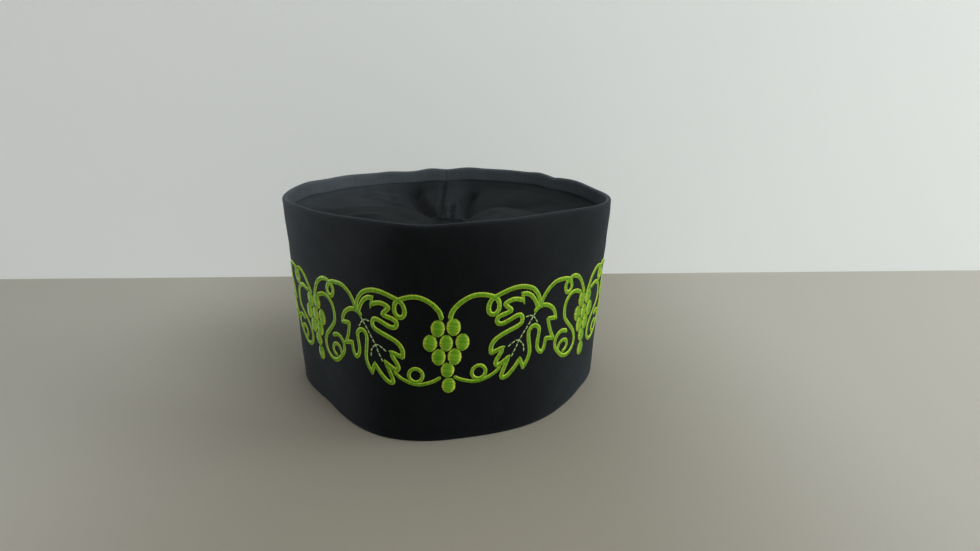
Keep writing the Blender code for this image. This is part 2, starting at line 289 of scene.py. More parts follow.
# %% The cotton
THREAD_PITCH = 0.36 * MM
COTTON_DARK = (0.0040, 0.0046, 0.0050)
COTTON_PALE = (0.0082, 0.0094, 0.0101)
# The pale colour of worn cloth, and also of painted light.
COTTON_WORN_AND_LIT = (0.112, 0.128, 0.140)
LINT = (0.07, 0.075, 0.08)
SLUBS = (60.0, 1400.0)  # thick threads, mottles and flecks of lint, to the metre
MOTTLES = 90.0
FLECKS = 110.0
FLECK_SIZE = 0.022
FLECK_BARRED = 0.86  # the share of flecks that are left out
SLUB_SHARE = 0.55
TONE_RANGE = (2.6, -0.8)
PALING_LEAST = 0.35
WEAVE_HEIGHT = 0.05 * MM
SLUB_HEIGHT = 0.10 * MM
BUMP = 0.5


def make_cotton(name, sheen):
    """Black cotton with this much fuzz, which catches light where the cloth turns away."""
    material, tree, shader = new_material(name)
    cloth = add_node(tree, "UVMap", uv_map="cloth").outputs["UV"]
    place = add_node(tree, "SeparateXYZ", {0: cloth}).outputs
    weft, warp = (
        add_math(tree, "SINE", add_math(tree, "MULTIPLY", place[axis], pi / THREAD_PITCH)) for axis in "XY"
    )
    over = add_math(tree, "GREATER_THAN", add_math(tree, "MULTIPLY", weft, warp), 0.0)
    under = add_math(tree, "SUBTRACT", 1.0, over)
    weft_on_top = add_math(tree, "MULTIPLY", over, add_math(tree, "ABSOLUTE", weft))
    warp_on_top = add_math(tree, "MULTIPLY", under, add_math(tree, "ABSOLUTE", warp))
    weave = add_math(tree, "ADD", weft_on_top, warp_on_top)

    slub_along = add_streaks(tree, cloth, (*SLUBS, 1.0))
    slub_up = add_streaks(tree, cloth, (*SLUBS[::-1], 1.0))
    slub = add_math(tree, "MULTIPLY", add_math(tree, "ADD", slub_along, slub_up), 0.5)
    mottle = add_math(tree, "MULTIPLY", add_noise(tree, cloth, MOTTLES, detail=4.0), 1 - SLUB_SHARE)
    tone = add_math(tree, "ADD", add_math(tree, "MULTIPLY", slub, SLUB_SHARE), mottle)
    tone = add_math(tree, "MULTIPLY_ADD", tone, *TONE_RANGE)
    colour = add_blend(tree, tone, COTTON_DARK, COTTON_PALE)
    # Paleness: wear in some places, painted light and painted highlight in others.
    streaky = add_math(tree, "ADD", slub, PALING_LEAST)
    paleness_and_painted_light = add_math(tree, "MULTIPLY", add_attribute(tree, "paleness_and_painted_light"), streaky)
    colour = add_blend(tree, paleness_and_painted_light, colour, COTTON_WORN_AND_LIT)

    flecks = add_node(tree, "TexVoronoi", {"Vector": cloth, "Scale": FLECKS})
    near_fleck = add_math(tree, "LESS_THAN", flecks.outputs["Distance"], FLECK_SIZE)
    drawn = add_node(tree, "SeparateColor", {0: flecks.outputs["Color"]}).outputs[0]
    few = add_math(tree, "GREATER_THAN", drawn, FLECK_BARRED)
    colour = add_blend(tree, add_math(tree, "MULTIPLY", near_fleck, few), colour, LINT)

    bumps = add_bump(tree, slub, SLUB_HEIGHT, BUMP, add_bump(tree, weave, WEAVE_HEIGHT, BUMP))
    plug(tree, shader, {
        "Base Color": colour,
        "Normal": bumps,
        "Roughness": 0.85,
        "Specular IOR Level": 0.06,
        "Sheen Weight": sheen,
        "Sheen Roughness": 0.45,
        "Sheen Tint": (0.78, 0.88, 1.0, 1.0),
    })
    return material


band_cotton = make_cotton("black cotton of the band", sheen=0.12)
crown_cotton = make_cotton("black cotton of the crown", sheen=0.04)
print("made:", band_cotton.name, "and", crown_cotton.name)

# %% [markdown]
# ## The band
# The real band is a long strip of cotton over a stiffener, sewn into a ring at the back. The cloth folds
# over the rim and runs 9 mm down inside, as a facing. It could be one cylinder with thickness, but the
# rounded fold, the facing's edge and the rolled foot are what make it look sewn. So a ring of points is
# extruded along the band's section, as on a lathe, and the round blank is then set on the block.

# %% The band's section
ROUND_COLUMNS = 400
BLANK_RADIUS = 100 * MM
FOOT_ROLL = 0.9 * MM
FACING_ROLL = 0.35 * MM
OUTSIDE_TOP, OUTSIDE_ROWS = 118.0, 42
FOLD_ROWS = 9
FACING_ROWS = (3.0, 5.0, 7.0, 7.9)
EDGE_EASE, EDGE_STARTS = 0.1 * MM, 8.5 * MM
INSIDE_TOP, INSIDE_ROWS = 110.0, 24
QUARTER = (pi / 2, pi / 3, pi / 6)


def band_section():
    """The section as (depth under the outer face, height), from the foot up the outside and down inside."""
    fold = (WALL + FACING) / 2
    roll = [(FOOT_ROLL - FOOT_ROLL * cos(turn), FOOT_ROLL - FOOT_ROLL * sin(turn)) for turn in QUARTER]
    outside = [(0.0, height * MM) for height in np.linspace(FOOT_ROLL / MM, OUTSIDE_TOP, OUTSIDE_ROWS)]
    over = [
        (fold - fold * cos(turn), HEIGHT - fold + fold * sin(turn))
        for turn in (pi * i / FOLD_ROWS for i in range(FOLD_ROWS + 1))
    ]
    down = [(WALL + FACING, HEIGHT - depth * MM) for depth in FACING_ROWS]
    edge = [
        (WALL + FACING - EDGE_EASE, HEIGHT - EDGE_STARTS),
        (WALL + FACING - FACING_ROLL, HEIGHT - FACING_DEPTH),
        (WALL, HEIGHT - FACING_DEPTH),
    ]
    inside = [(WALL, height * MM) for height in np.linspace(INSIDE_TOP, FOOT_ROLL / MM, INSIDE_ROWS)]
    under = [
        (WALL - FOOT_ROLL + FOOT_ROLL * cos(turn), FOOT_ROLL - FOOT_ROLL * sin(turn))
        for turn in QUARTER[::-1]
    ]
    return roll + outside + over + down + edge + inside + under


SECTION = band_section()
print("points of the band's section:", len(SECTION))


# %% Extrude the blank ring by ring
def start_piece(name, add_primitive, **size):
    """A primitive at its size and place, with the piece's name, and nothing else selected."""
    bpy.ops.object.select_all(action="DESELECT")
    add_primitive(**size)
    piece = bpy.context.object
    piece.name = name
    piece.data.name = name
    return piece


band = start_piece(
    "band_cloth",
    bpy.ops.mesh.primitive_circle_add,
    vertices=ROUND_COLUMNS,
    radius=BLANK_RADIUS - SECTION[0][0],
    fill_type="NOTHING",
    location=(0, 0, SECTION[0][1]),
)
bpy.ops.object.transform_apply(location=True, rotation=True, scale=True)
bpy.ops.object.mode_set(mode="EDIT")
bpy.ops.mesh.select_mode(type="EDGE")
bpy.ops.mesh.select_all(action="SELECT")
for before, after in zip(SECTION, SECTION[1:]):
    rise = (0, 0, after[1] - before[1])
    bpy.ops.mesh.extrude_edges_move(TRANSFORM_OT_translate={"value": rise})
    widen = (BLANK_RADIUS - after[0]) / (BLANK_RADIUS - before[0])
    bpy.ops.transform.resize(value=(widen, widen, 1), center_override=(0, 0, 0))
# The first ring and the last are the only open edges. A bridge joins them under the foot.
bpy.ops.mesh.select_non_manifold(
    extend=False, use_wire=False, use_multi_face=False, use_non_contiguous=False, use_verts=False
)
bpy.ops.mesh.bridge_edge_loops()
bpy.ops.mesh.select_all(action="SELECT")
bpy.ops.mesh.normals_make_consistent(inside=False)
bpy.ops.object.mode_set(mode="OBJECT")
print("blank:", len(band.data.vertices), "points,", len(band.data.polygons), "faces")

# %% [markdown]
# ## Setting the blank on the block
# Each point of the blank keeps its depth and its height, and the block gives it its place. The UV map is
# the flat strip that the band would be cut from, from seam to seam, in metres. The cloth is made paler in
# places: worn along the foot's edge, worn and with a painted highlight on the rim's fold, with painted
# light towards the top, and paler on the inner side, with painted light most at the back.

# %% Helpers for meshes
def read_points(mesh):
    """The mesh's points, one to a row."""
    points = np.empty(len(mesh.vertices) * 3)
    mesh.vertices.foreach_get("co", points)
    return points.reshape(-1, 3)


def write_points(mesh, points):
    """Moves the mesh's points to these places."""
    mesh.vertices.foreach_set("co", np.asarray(points, dtype=np.float64).ravel())
    mesh.update()


def write_uv(mesh, name, uv, length_round=None):
    """Gives each corner its point's UV, and closes the map where it goes round once."""
    layer = mesh.uv_layers.new(name=name)
    corner_point = np.empty(len(mesh.loops), dtype=np.int64)
    mesh.loops.foreach_get("vertex_index", corner_point)
    corners = uv[corner_point].copy()
    if length_round:
        starts = np.empty(len(mesh.polygons), dtype=np.int64)
        totals = np.empty(len(mesh.polygons), dtype=np.int64)
        mesh.polygons.foreach_get("loop_start", starts)
        mesh.polygons.foreach_get("loop_total", totals)
        highest = np.repeat(np.maximum.reduceat(corners[:, 0], starts), totals)
        behind = corners[:, 0] < highest - length_round / 2
        corners[behind, 0] += length_round
    layer.data.foreach_set("uv", corners.ravel())


def write_number(mesh, name, values):
    """Gives each point a number that a material can read."""
    attribute = mesh.attributes.new(name, "FLOAT", "POINT")
    attribute.data.foreach_set("value", np.asarray(values, dtype=np.float64))


def cover(mesh, material):
    """Smooth shading and one material."""
    mesh.polygons.foreach_set("use_smooth", [True] * len(mesh.polygons))
    mesh.materials.clear()
    mesh.materials.append(material)


def lengths_to(points):
    """How far each point lies from the first one, along the line through them."""
    return np.concatenate([[0.0], np.cumsum(np.linalg.norm(np.diff(points, axis=0), axis=1))])


# %% Set the blank on the block
CROWDING = 0.75  # columns crowd at the back seam, where the cloth turns in sharply, within this turn
CROWDED_TURN = radians(4.0)
MEAN_RADIUS = 95.4 * MM
# Painted light: a highlight on the rim's fold, on top of its wear, and paler cloth towards the band's top.
RIM_WEAR_AND_HIGHLIGHT, RIM_HIGHLIGHT_WIDTH = 0.085, 1.4 * MM
TOP_PAINTED_LIGHT, TOP_PAINTED_LIGHT_DEPTH = 0.07, 12.0 * MM
FOOT_WEAR, FOOT_WEAR_WIDTH = 0.06, 0.8 * MM
INNER_PALENESS, BACK_INNER_PAINTED_LIGHT = 0.5, 0.36
BACK_SINE = 0.7  # the inner side's painted light is strongest where the sine of the direction is above this

blank = read_points(band.data)
turn = turn_between(np.arctan2(blank[:, 1], blank[:, 0]), SEAM_DIRECTION)
angle = SEAM_DIRECTION + turn * (1 - CROWDING * bell(turn, CROWDED_TURN))
inset = BLANK_RADIUS - np.hypot(blank[:, 0], blank[:, 1])
height = blank[:, 2]
write_points(band.data, on_cloth(angle, inset, height))

section = np.array(SECTION)
nearest = np.argmin((inset[:, None] - section[:, 0]) ** 2 + (height[:, None] - section[:, 1]) ** 2, axis=1)
from_seam = turn_between(angle, SEAM_DIRECTION) + pi
flat = np.stack([from_seam * MEAN_RADIUS, lengths_to(section)[nearest]], axis=1)
write_uv(band.data, "cloth", flat, 2 * pi * MEAN_RADIUS)
# The inner side is paler all round, and the extra paleness at the back is painted light.
inner_paleness_and_light = INNER_PALENESS + BACK_INNER_PAINTED_LIGHT * smooth_step(np.sin(angle) / BACK_SINE)
paleness_and_painted_light = (
    RIM_WEAR_AND_HIGHLIGHT * bell(HEIGHT - height, RIM_HIGHLIGHT_WIDTH)
    + TOP_PAINTED_LIGHT * np.exp((height - HEIGHT) / TOP_PAINTED_LIGHT_DEPTH)
    + FOOT_WEAR * bell(height, FOOT_WEAR_WIDTH)
    + np.where(inset > (WALL + FACING) / 2, inner_paleness_and_light, 0.0)
)
write_number(band.data, "paleness_and_painted_light", paleness_and_painted_light)
cover(band.data, band_cotton)
print("band: height", np.ptp(read_points(band.data)[:, 2]) / MM, "mm")

# %% [markdown]
# ## The crown
# The crown is one soft round of cotton, a little larger than the opening, so its fullness has to go into
# folds. Two puffs stand up in front with a gutter between them. From the back seam a pleat runs to the
# middle, where the cloth is pinched into a small tuck. A flat grid is a good start, because its threads
# stay straight. It is rounded to a disc, each point is lowered to where the cloth lies, and creases are
# pressed in along named paths. A cloth simulation then settles it.

# %% The crown's puffs and creases
EDGE_DROP = 8.3
CENTRE_DROP = 19.0
PUFF_RISE = 15.0
PUFF_TOP = 0.62  # the share of the radius where the puffs start down to the edge
EDGE_FADE = 0.10  # the share of the radius along the edge where folds fade out
# The front puffs' crest: a place across, how far the crest lies below the rim, and where it is.
CREST = np.array(
    (
        (-92.0, 8.3, -14.0), (-72.0, 5.6, -14.0), (-55.0, 4.6, -13.0), (-45.0, 4.5, -11.0),
        (-34.0, 5.5, -9.0), (-24.0, 7.2, -8.0), (-15.0, 10.3, -7.0), (-9.0, 14.5, -6.0),
        (-5.0, 16.0, -5.0), (3.0, 16.2, -5.0), (10.5, 15.8, -5.0), (13.6, 12.6, -8.0),
        (18.6, 9.2, -8.0), (26.7, 5.8, -9.0), (35.0, 5.0, -11.0), (44.6, 5.8, -16.0),
        (56.0, 6.6, -27.0), (72.0, 7.6, -46.0), (92.0, 8.3, -60.0),
    )
)
# A lobe's middle and spread in plan, and its rise.
Lobe = namedtuple("Lobe", "x y spread rise")
BACK_LOBES = (
    Lobe(-47.0, 45.0, 24.0, 2.6), Lobe(50.0, 45.0, 26.0, 2.2), Lobe(-47.0, 54.0, 7.0, 1.6),
)
# A crease is pressed along a path, in millimetres in plan. A negative depth is a ridge. One side of it
# can be steep and the other gentle, as where cloth folds over. left is towards -X for a path to the front.
Crease = namedtuple("Crease", "path depth left right")
CREASES = (
    Crease(((-5.0, 95), (-5.0, 73), (-5.2, 53), (-5.4, 31), (-5.6, 9)), 2.8, 1.1, 1.1),
    Crease(((-8.6, 92), (-8.8, 58), (-9.2, 20)), -1.2, 2.2, 2.2),
    Crease(((-25.0, 84), (-23.0, 58), (-18.0, 38), (-12.5, 22), (-9.0, 4)), 6.2, 8.0, 3.4),
    Crease(((5.0, 95), (4.0, 70), (1.5, 40), (0.0, 14)), -1.6, 6.0, 6.0),
    Crease(((15.5, 74), (12.4, 54), (10.8, 40), (10.2, 28), (10.0, 12), (10.0, 0)), 6.6, 1.9, 5.0),
    Crease(((13.5, 82), (10.0, 62), (6.4, 42), (5.0, 29), (4.9, 8)), -1.8, 1.6, 1.0),
    Crease(((2.6, 36), (1.9, 24), (1.7, 8)), 2.6, 1.5, 1.5),
    Crease(((-1.2, 38), (-1.3, 26), (-1.1, 8)), -1.5, 1.2, 1.2),
    Crease(((-8.5, -4.0), (1.0, -7.5), (10.5, -11.0)), -2.4, 2.2, 1.0),
    Crease(((-13.0, 4.0), (-8.5, -3.0)), 1.6, 3.0, 3.0),
    Crease(((-90.0, 3.0), (-50.0, 4.0), (-30.0, 5.0), (-16.0, 3.0)), 3.4, 5.0, 8.0),
    Crease(((90.0, -30.0), (62.0, -12.0), (40.0, 2.0), (18.0, 4.0)), 3.0, 7.0, 5.0),
    Crease(((-60.5, 76), (-58.5, 56), (-57.5, 40)), 1.7, 3.4, 3.0),
    Crease(((-48.0, 78), (-43.0, 56), (-37.0, 38)), 1.6, 3.0, 3.6),
    Crease(((-52.0, 43), (-42.0, 40), (-30.0, 33)), -0.9, 2.4, 4.0),
    Crease(((-80.0, -34), (-58.0, -38), (-36.0, -34)), -0.8, 6.0, 4.0),
    Crease(((70.0, 30), (52.0, 24), (34.0, 26)), 0.9, 6.0, 8.0),
    Crease(((60.0, 66), (44.0, 46), (26.0, 28)), -0.4, 6.0, 8.0),
    Crease(((-74.0, 44), (-60.0, 22), (-34.0, 14)), -0.7, 6.0, 6.0),
    Crease(((34.0, -76), (30.0, -44), (24.0, -22)), 0.9, 6.0, 6.0),
    Crease(((-30.0, -78), (-24.0, -44), (-20.0, -24)), 0.9, 6.0, 6.0),
)


# %% How deep the creases are
PATH_POINTS = 40
CREASE_FADE, CREASE_START = 5.0, 0.25
PATH_EASE = 2.0  # a place this near to a point of the path counts as beside it


def at_lengths(line, lengths, at):
    """The places at some lengths along a line."""
    return np.stack([np.interp(at, lengths, line[:, k]) for k in range(2)], axis=1)


def headings(line):
    """The direction of a line at each of its points, one unit long."""
    ahead = np.gradient(line, axis=0)
    return ahead / np.linalg.norm(ahead, axis=1)[:, None]


def crease_depth(crease, x, y):
    """How deep a crease is at each place, fading out at its ends and on each side of it."""
    path = np.array(crease.path, dtype=float)
    lengths = lengths_to(path)
    path = at_lengths(path, lengths, np.linspace(0.0, lengths[-1], PATH_POINTS))
    ahead = headings(path)
    away = np.stack([x[:, None] - path[:, 0], y[:, None] - path[:, 1]], axis=2)
    near = np.argmin((away**2).sum(axis=2), axis=1)
    off = away[np.arange(len(x)), near]
    along = (off * ahead[near]).sum(axis=1)
    aside = off[:, 0] * ahead[near, 1] - off[:, 1] * ahead[near, 0]
    width = np.where(aside < 0, crease.right, crease.left)
    share = near / (PATH_POINTS - 1)
    ends = smooth_step(CREASE_FADE * share + CREASE_START) * smooth_step(
        CREASE_FADE * (1 - share) + CREASE_START
    )
    beyond = along * (np.abs(along) > PATH_EASE)
    return crease.depth * ends * bell(aside, width) * bell(beyond, width)


def crown_drop(x, y, share):
    """How far the crown lies below the rim, in millimetres."""
    drop = CENTRE_DROP + (EDGE_DROP - CENTRE_DROP) * share
    edge_fade = smooth_step((1 - share) / EDGE_FADE)
    for lobe in BACK_LOBES:
        reach = 1 - np.hypot(x - lobe.x, y - lobe.y) / (2 * lobe.spread)
        drop = drop - edge_fade * lobe.rise * smooth_step(reach)
    crest_drop = np.interp(x, CREST[:, 0], CREST[:, 1])
    crest_place = np.interp(x, CREST[:, 0], CREST[:, 2])
    front = smooth_step((crest_place + PUFF_RISE - y) / PUFF_RISE)
    puff = crest_drop + (EDGE_DROP - crest_drop) * ramp(share, PUFF_TOP, 1 - PUFF_TOP)
    drop = drop + (puff - drop) * front
    return drop + edge_fade * sum(crease_depth(crease, x, y) for crease in CREASES)


# %% Make the crown from a grid
CROWN_GRID = 108
CLOSER = 0.6  # rows of the grid lie closer by this towards the middle, where the small tucks are
CROWN_CLOTH = 1.2 * MM
CROWN_INSET = WALL + 0.1 * MM

crown = start_piece(
    "crown_cloth",
    bpy.ops.mesh.primitive_grid_add,
    x_subdivisions=CROWN_GRID,
    y_subdivisions=CROWN_GRID,
    size=2,
)
square = read_points(crown.data)
square[:, 0] *= CLOSER + (1 - CLOSER) * square[:, 0] ** 2
disc_x = square[:, 0] * np.sqrt(1 - square[:, 1] ** 2 / 2)
disc_y = square[:, 1] * np.sqrt(1 - square[:, 0] ** 2 / 2)
share = np.minimum(np.hypot(disc_x, disc_y), 1.0)
angle = np.arctan2(disc_y, disc_x)
wall = on_cloth(angle, CROWN_INSET, HEIGHT - FACING_DEPTH)
x, y = wall[:, 0] * share, wall[:, 1] * share
level = HEIGHT + (rim_height(angle) - HEIGHT) * share
z = level - crown_drop(x / MM, y / MM, share) * MM
laid = np.stack([x, y, z], axis=1)
write_points(crown.data, laid)
write_uv(crown.data, "cloth", laid[:, :2])
print("crown: from", z.min() / MM, "to", z.max() / MM, "mm up")

# %% [markdown]
# ## Letting the crown settle
# The pressed creases are too regular for cloth. A short cloth simulation, with a cloth that is a little
# too large, lets it buckle and slump between them. Its edge is sewn in, so it is pinned all round, and
# the pinched middle is tacked, so it is pinned in part. No point may end far from where it was laid.

# %% Simulate the crown's cloth
SPARE_CLOTH = 0.03
SETTLE_FRAMES = 24
SETTLE_LIMIT = 1.6 * MM
SETTLE_EDGE = 0.2
SEWN_FROM = 0.985
TACKED_WITHIN, TACKED = 16.0, 0.7
CLOTH_SETTINGS = {
    "quality": 6,
    "mass": 0.15,
    "tension_stiffness": 20,
    "compression_stiffness": 20,
    "shear_stiffness": 6,
    "bending_stiffness": 0.3,
    "air_damping": 4,
    "vertex_group_mass": "tacked",  # the group of points that are pinned
    "shrink_min": -SPARE_CLOTH,
}
GRAVITY_SHARE = 0.15


def settle(piece, tacked):
    """Where a short cloth simulation takes the piece's points."""
    group = piece.vertex_groups.new(name="tacked")
    for weight in np.unique(tacked):
        group.add(np.flatnonzero(tacked == weight).tolist(), float(weight), "REPLACE")
    cloth = piece.modifiers.new("settle", "CLOTH")
    set_all(cloth.settings, CLOTH_SETTINGS)
    cloth.settings.effector_weights.gravity = GRAVITY_SHARE
    cloth.collision_settings.use_collision = False
    scene = bpy.context.scene
    for frame_number in range(1, SETTLE_FRAMES + 1):
        scene.frame_set(frame_number)
    settled = read_points(piece.evaluated_get(bpy.context.evaluated_depsgraph_get()).data)
    piece.modifiers.remove(cloth)
    scene.frame_set(1)
    piece.vertex_groups.clear()
    return settled


middle = np.abs(x / MM) + np.abs(y / MM) < TACKED_WITHIN
tacked = np.where(share > SEWN_FROM, 1.0, np.where(middle, TACKED, 0.0))
moved = settle(crown, tacked) - laid
far = np.linalg.norm(moved, axis=1)
print("cloth moved, mm: mean", far.mean() / MM, "most", far.max() / MM)
keep = np.minimum(1.0, SETTLE_LIMIT / np.maximum(far, 1e-9)) * smooth_step((1 - share) / SETTLE_EDGE)
write_points(crown.data, laid + moved * keep[:, None])

# %% Give the crown its thickness and threads
# Painted light: the crown's left part and the back pleat are paler where the window light falls, and its
# edge is paler to lift the shade under the facing. The whole crown is a little paler too.
CROWN_PALENESS = 0.025
LEFT_PAINTED_LIGHT = 0.20
PLEAT_PAINTED_LIGHT, PLEAT_LIGHT_WIDTH = 0.09, 12 * MM
EDGE_PAINTED_LIGHT, LEFT_EDGE_PAINTED_LIGHT = 0.05, 0.10
# Where each part of the painted light starts, in millimetres or as a share of the radius, and over what
# length it grows.
LEFT_PART, LEFT_EDGE_PART = (-18, -40), (0, -60)
BACK_PART, EDGE_PART = (-4, 22), (0.78, 0.22)


def apply_modifier(piece, kind, **settings):
    """Adds a modifier to a piece and applies it."""
    bpy.ops.object.select_all(action="DESELECT")
    piece.select_set(True)
    bpy.context.view_layer.objects.active = piece
    modifier = piece.modifiers.new(kind.lower(), kind)
    set_all(modifier, settings)
    bpy.ops.object.modifier_apply(modifier=modifier.name)


back_painted_light = LEFT_PAINTED_LIGHT * ramp(x / MM, *LEFT_PART) + PLEAT_PAINTED_LIGHT * bell(x, PLEAT_LIGHT_WIDTH)
edge_painted_light = EDGE_PAINTED_LIGHT + LEFT_EDGE_PAINTED_LIGHT * ramp(x / MM, *LEFT_EDGE_PART)
paleness_and_painted_light = CROWN_PALENESS + back_painted_light * ramp(y / MM, *BACK_PART) + edge_painted_light * ramp(share, *EDGE_PART)
write_number(crown.data, "paleness_and_painted_light", paleness_and_painted_light)
apply_modifier(crown, "SUBSURF", levels=1, render_levels=1)
apply_modifier(crown, "SOLIDIFY", thickness=CROWN_CLOTH, offset=-1)
cover(crown.data, crown_cotton)
print("crown:", len(crown.data.polygons), "faces")

# %% [markdown]
# ## Green satin stitch
# Embroidery thread is shiny and twisted. In satin stitch the threads lie side by side across a shape. Each
# dives into the cloth at both its ends, where it curves away and catches more light. That light is painted
# into the colour as a highlight, so the edges of every leaf and berry look paler than the middle. Each
# stitch
# carries two numbers for the material: how near a point is to its stitch's end, and how light this stitch
# is among its neighbours.

# %% The thread
THREAD_DEEP = (0.080, 0.340, 0.001)
THREAD_LIGHT = (0.830, 1.000, 0.095)
VEIN_COLOUR = (0.500, 0.700, 0.250)
VEIN_LIGHT = (0.62, 0.80, 0.40)
FIBRES = (1.2, 9.0, 1.0)  # along a stitch, in millimetres, and round it
FIBRE_HEIGHT, FIBRE_BUMP = 0.06 * MM, 0.6
END_SUDDENNESS, END_PAINTED_HIGHLIGHT = 4.0, 1.4
SHADE_RANGE = (0.24, 0.02)
STREAK_RANGE = (0.5, -0.25)
ROUGH_RANGE = (0.25, 0.28)


def make_thread(name, deep, light):
    """Satin thread, with a painted highlight at a stitch's ends, and a little different from stitch to
    stitch.
    """
    material, tree, shader = new_material(name)
    fibres = add_streaks(tree, add_node(tree, "UVMap", uv_map="thread").outputs["UV"], FIBRES)
    # Painted highlight: the colour is paler near a stitch's ends.
    ends = add_math(tree, "POWER", add_attribute(tree, "stitch_end"), END_SUDDENNESS)
    ends = add_math(tree, "MULTIPLY", ends, END_PAINTED_HIGHLIGHT)
    shade = add_math(tree, "MULTIPLY_ADD", add_attribute(tree, "stitch_shade"), *SHADE_RANGE)
    streaks = add_math(tree, "MULTIPLY_ADD", fibres, *STREAK_RANGE)
    lighter = add_math(tree, "ADD", add_math(tree, "ADD", ends, shade), streaks)
    plug(tree, shader, {
        "Base Color": add_blend(tree, lighter, deep, light),
        "Normal": add_bump(tree, fibres, FIBRE_HEIGHT, FIBRE_BUMP),
        "Roughness": add_math(tree, "MULTIPLY_ADD", fibres, *ROUGH_RANGE),
        "Specular IOR Level": 0.18,
    })
    return material


green_thread = make_thread("green thread", THREAD_DEEP, THREAD_LIGHT)
pale_thread = make_thread("pale thread", VEIN_COLOUR, VEIN_LIGHT)
print("made:", green_thread.name, "and", pale_thread.name)

# %% [markdown]
# ## One stitch
# All stitches are alike: a thread that rises out of the cloth, crosses over and goes down again. One is
# modelled from a thin five-sided cylinder, cut into short lengths in edit mode, and copied thousands of
# times, so it is kept to a few faces. Stitches over a berry are longer, so theirs has more lengths.

# %% Model the short and the long stitch
THREAD_SIDES = 5
THREAD_HALF = 0.25
THREAD_FLATNESS = 0.8
THINNER_ENDS = 0.35
Stitch = namedtuple("Stitch", "points faces")


def model_stitch(lengths):
    """A thread from -1 to 1 along X, in this many lengths. Y and Z, in mm, are its width and height."""
    thread = start_piece(
        "thread",
        bpy.ops.mesh.primitive_cylinder_add,
        vertices=THREAD_SIDES,
        radius=THREAD_HALF,
        depth=2,
        end_fill_type="NGON",
    )
    bpy.ops.object.mode_set(mode="EDIT")
    for i in range(1, lengths):
        bpy.ops.mesh.select_all(action="SELECT")
        bpy.ops.mesh.bisect(plane_co=(0, 0, -1 + 2 * i / lengths), plane_no=(0, 0, 1))
    bpy.ops.mesh.select_all(action="SELECT")
    bpy.ops.mesh.normals_make_consistent(inside=False)
    bpy.ops.object.mode_set(mode="OBJECT")
    points = read_points(thread.data)
    faces = [tuple(face.vertices) for face in thread.data.polygons]
    bpy.data.objects.remove(thread, do_unlink=True)
    along = np.sin(points[:, 2] * pi / 2)
    thin = 1 - THINNER_ENDS * along**6
    turned = np.stack([along, points[:, 1] * thin, points[:, 0] * thin * THREAD_FLATNESS], axis=1)
    return Stitch(turned, [face[::-1] for face in faces])


short_stitch = model_stitch(lengths=4)
long_stitch = model_stitch(lengths=8)
print("faces of a stitch:", len(short_stitch.faces), "short,", len(long_stitch.faces), "long")

# %% [markdown]
# ## The vine's chart
# An embroiderer works from a chart. This one is in millimetres: along the band from the middle of a bunch,
# and up from the foot. One half repeat holds a bunch, a stem with two curls, a leaf, a scroll with its
# curl, and a low tendril with a ring. The next half repeat is its mirror image. The corners of the leaf
# are sharp, so its outline is charted as separate strokes that meet there.

# %% The bunches and the stems
BUNCHES_ALONG = (0.0, 99.8, 199.8, 299.8, 399.8, 499.7)
HALF_REPEAT = 99.5
Berry = namedtuple("Berry", "along up width height")
BERRIES = (
    Berry(-4.2, 65.9, 7.3, 9.2), Berry(3.8, 66.3, 7.2, 9.5), Berry(-8.4, 57.9, 7.4, 9.2),
    Berry(-0.1, 57.6, 6.9, 9.0), Berry(8.3, 57.7, 7.2, 9.5), Berry(-4.2, 49.9, 7.3, 9.0),
    Berry(4.1, 49.8, 7.2, 9.2), Berry(0.3, 42.3, 7.2, 8.3), Berry(0.7, 33.5, 7.3, 8.8),
)
FIRST_STEM = (
    (2.1, 71.0), (3.2, 74.6), (5.7, 77.9), (8.7, 80.4), (12.3, 82.3), (16.0, 83.0), (20.0, 82.6),
    (24.3, 81.1), (26.7, 79.2), (27.6, 76.6), (27.4, 73.8), (25.6, 71.6), (23.5, 71.6), (22.0, 73.3),
    (21.8, 75.8), (22.8, 78.7), (24.8, 80.6), (27.0, 81.5), (30.3, 82.7), (34.0, 83.8), (38.0, 84.3),
    (41.5, 84.2), (45.2, 83.3), (48.9, 81.6), (51.6, 79.0), (53.1, 76.6), (54.0, 73.8), (54.4, 71.2),
)
SECOND_STEM = (
    (54.9, 71.0), (56.0, 74.3), (57.8, 76.9), (60.2, 79.2), (63.4, 81.2), (67.0, 82.6), (72.0, 82.8),
    (76.5, 82.2), (79.8, 80.2), (81.2, 77.4), (80.6, 75.0), (78.6, 73.8), (76.3, 74.6), (75.2, 77.2),
    (76.0, 79.6), (78.9, 81.7), (83.0, 82.7), (87.0, 81.8), (91.0, 79.2), (94.0, 75.7), (96.0, 72.5),
    (97.3, 70.0),
)

# %% The leaf
STROKE = 2.5
TOOTH_STROKE = 1.7
SPIKE_STROKE = STROKE - 0.3
